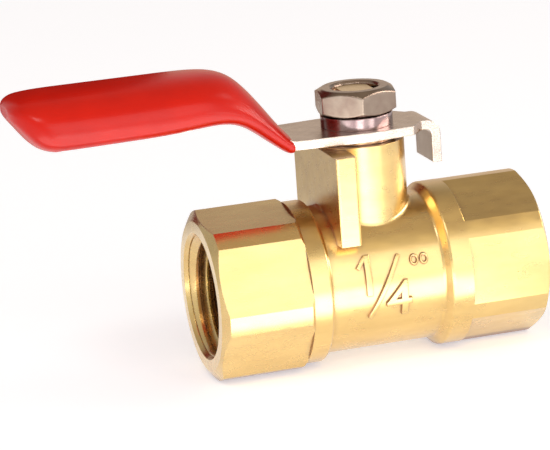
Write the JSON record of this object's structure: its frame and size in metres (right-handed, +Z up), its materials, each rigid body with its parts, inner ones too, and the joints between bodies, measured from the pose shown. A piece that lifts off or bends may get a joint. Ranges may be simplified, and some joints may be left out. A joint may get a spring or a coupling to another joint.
{
  "type": "water shutoff ball valve",
  "caption": "Compact female-threaded ball valve: hex-ended body, screwed end cap, ball on a stem, and a bent steel lever with a dipped grip that turns a quarter turn.",
  "frame": {"origin": "centre of the ball, where the pipe axis meets the stem axis", "axes": "+X along the pipe from the inlet (end cap) to the outlet; +Z up the stem to the lever nut; +Y completes a right-handed frame; the lever rests over the inlet, at -X, with the valve open"},
  "size_m": [0.0571, 0.0184, 0.0336],
  "materials": {
    "body_brass": "polished, lightly mottled forging",
    "cap_brass": "polished, turned end",
    "stem_brass": "turned",
    "ball_chrome": "polished plate",
    "seat_white": "waxy white",
    "seal_black": "smooth",
    "lever_steel": "fine grain along its length",
    "nut_steel": "plated, semi-bright",
    "washer_steel": "dark plated",
    "grip_red": "soft glossy dip"
  },
  "bodies": {
    "housing": {"valve_body": "body_brass", "end_cap": "cap_brass", "end_cap_seal": "seat_white", "seat_ring_inlet": "seat_white", "seat_ring_outlet": "seat_white", "stem_thrust_washer": "seat_white"},
    "lever": {"stem": "stem_brass", "stem_o_ring_lower": "seal_black", "stem_o_ring_upper": "seal_black", "lever_spacer": "stem_brass", "lever_plate": "lever_steel", "lever_grip": "grip_red", "lock_washer": "washer_steel", "lever_nut": "nut_steel"},
    "ball": {"ball": "ball_chrome"}
  },
  "joints": [
    {"name": "lever_turn", "type": "hinge", "parent": "housing", "child": "lever", "pos_m": [0, 0, 0.015], "axis": [0, 0, 1], "range_deg": [-90, 90]},
    {"name": "ball_turn", "type": "hinge", "parent": "housing", "child": "ball", "pos_m": [0, 0, 0], "axis": [0, 0, 1], "range_deg": [-90, 90]}
  ],
  "couplings": [
    {"joint": "ball_turn", "follows": "lever_turn", "ratio": 1}
  ]
}
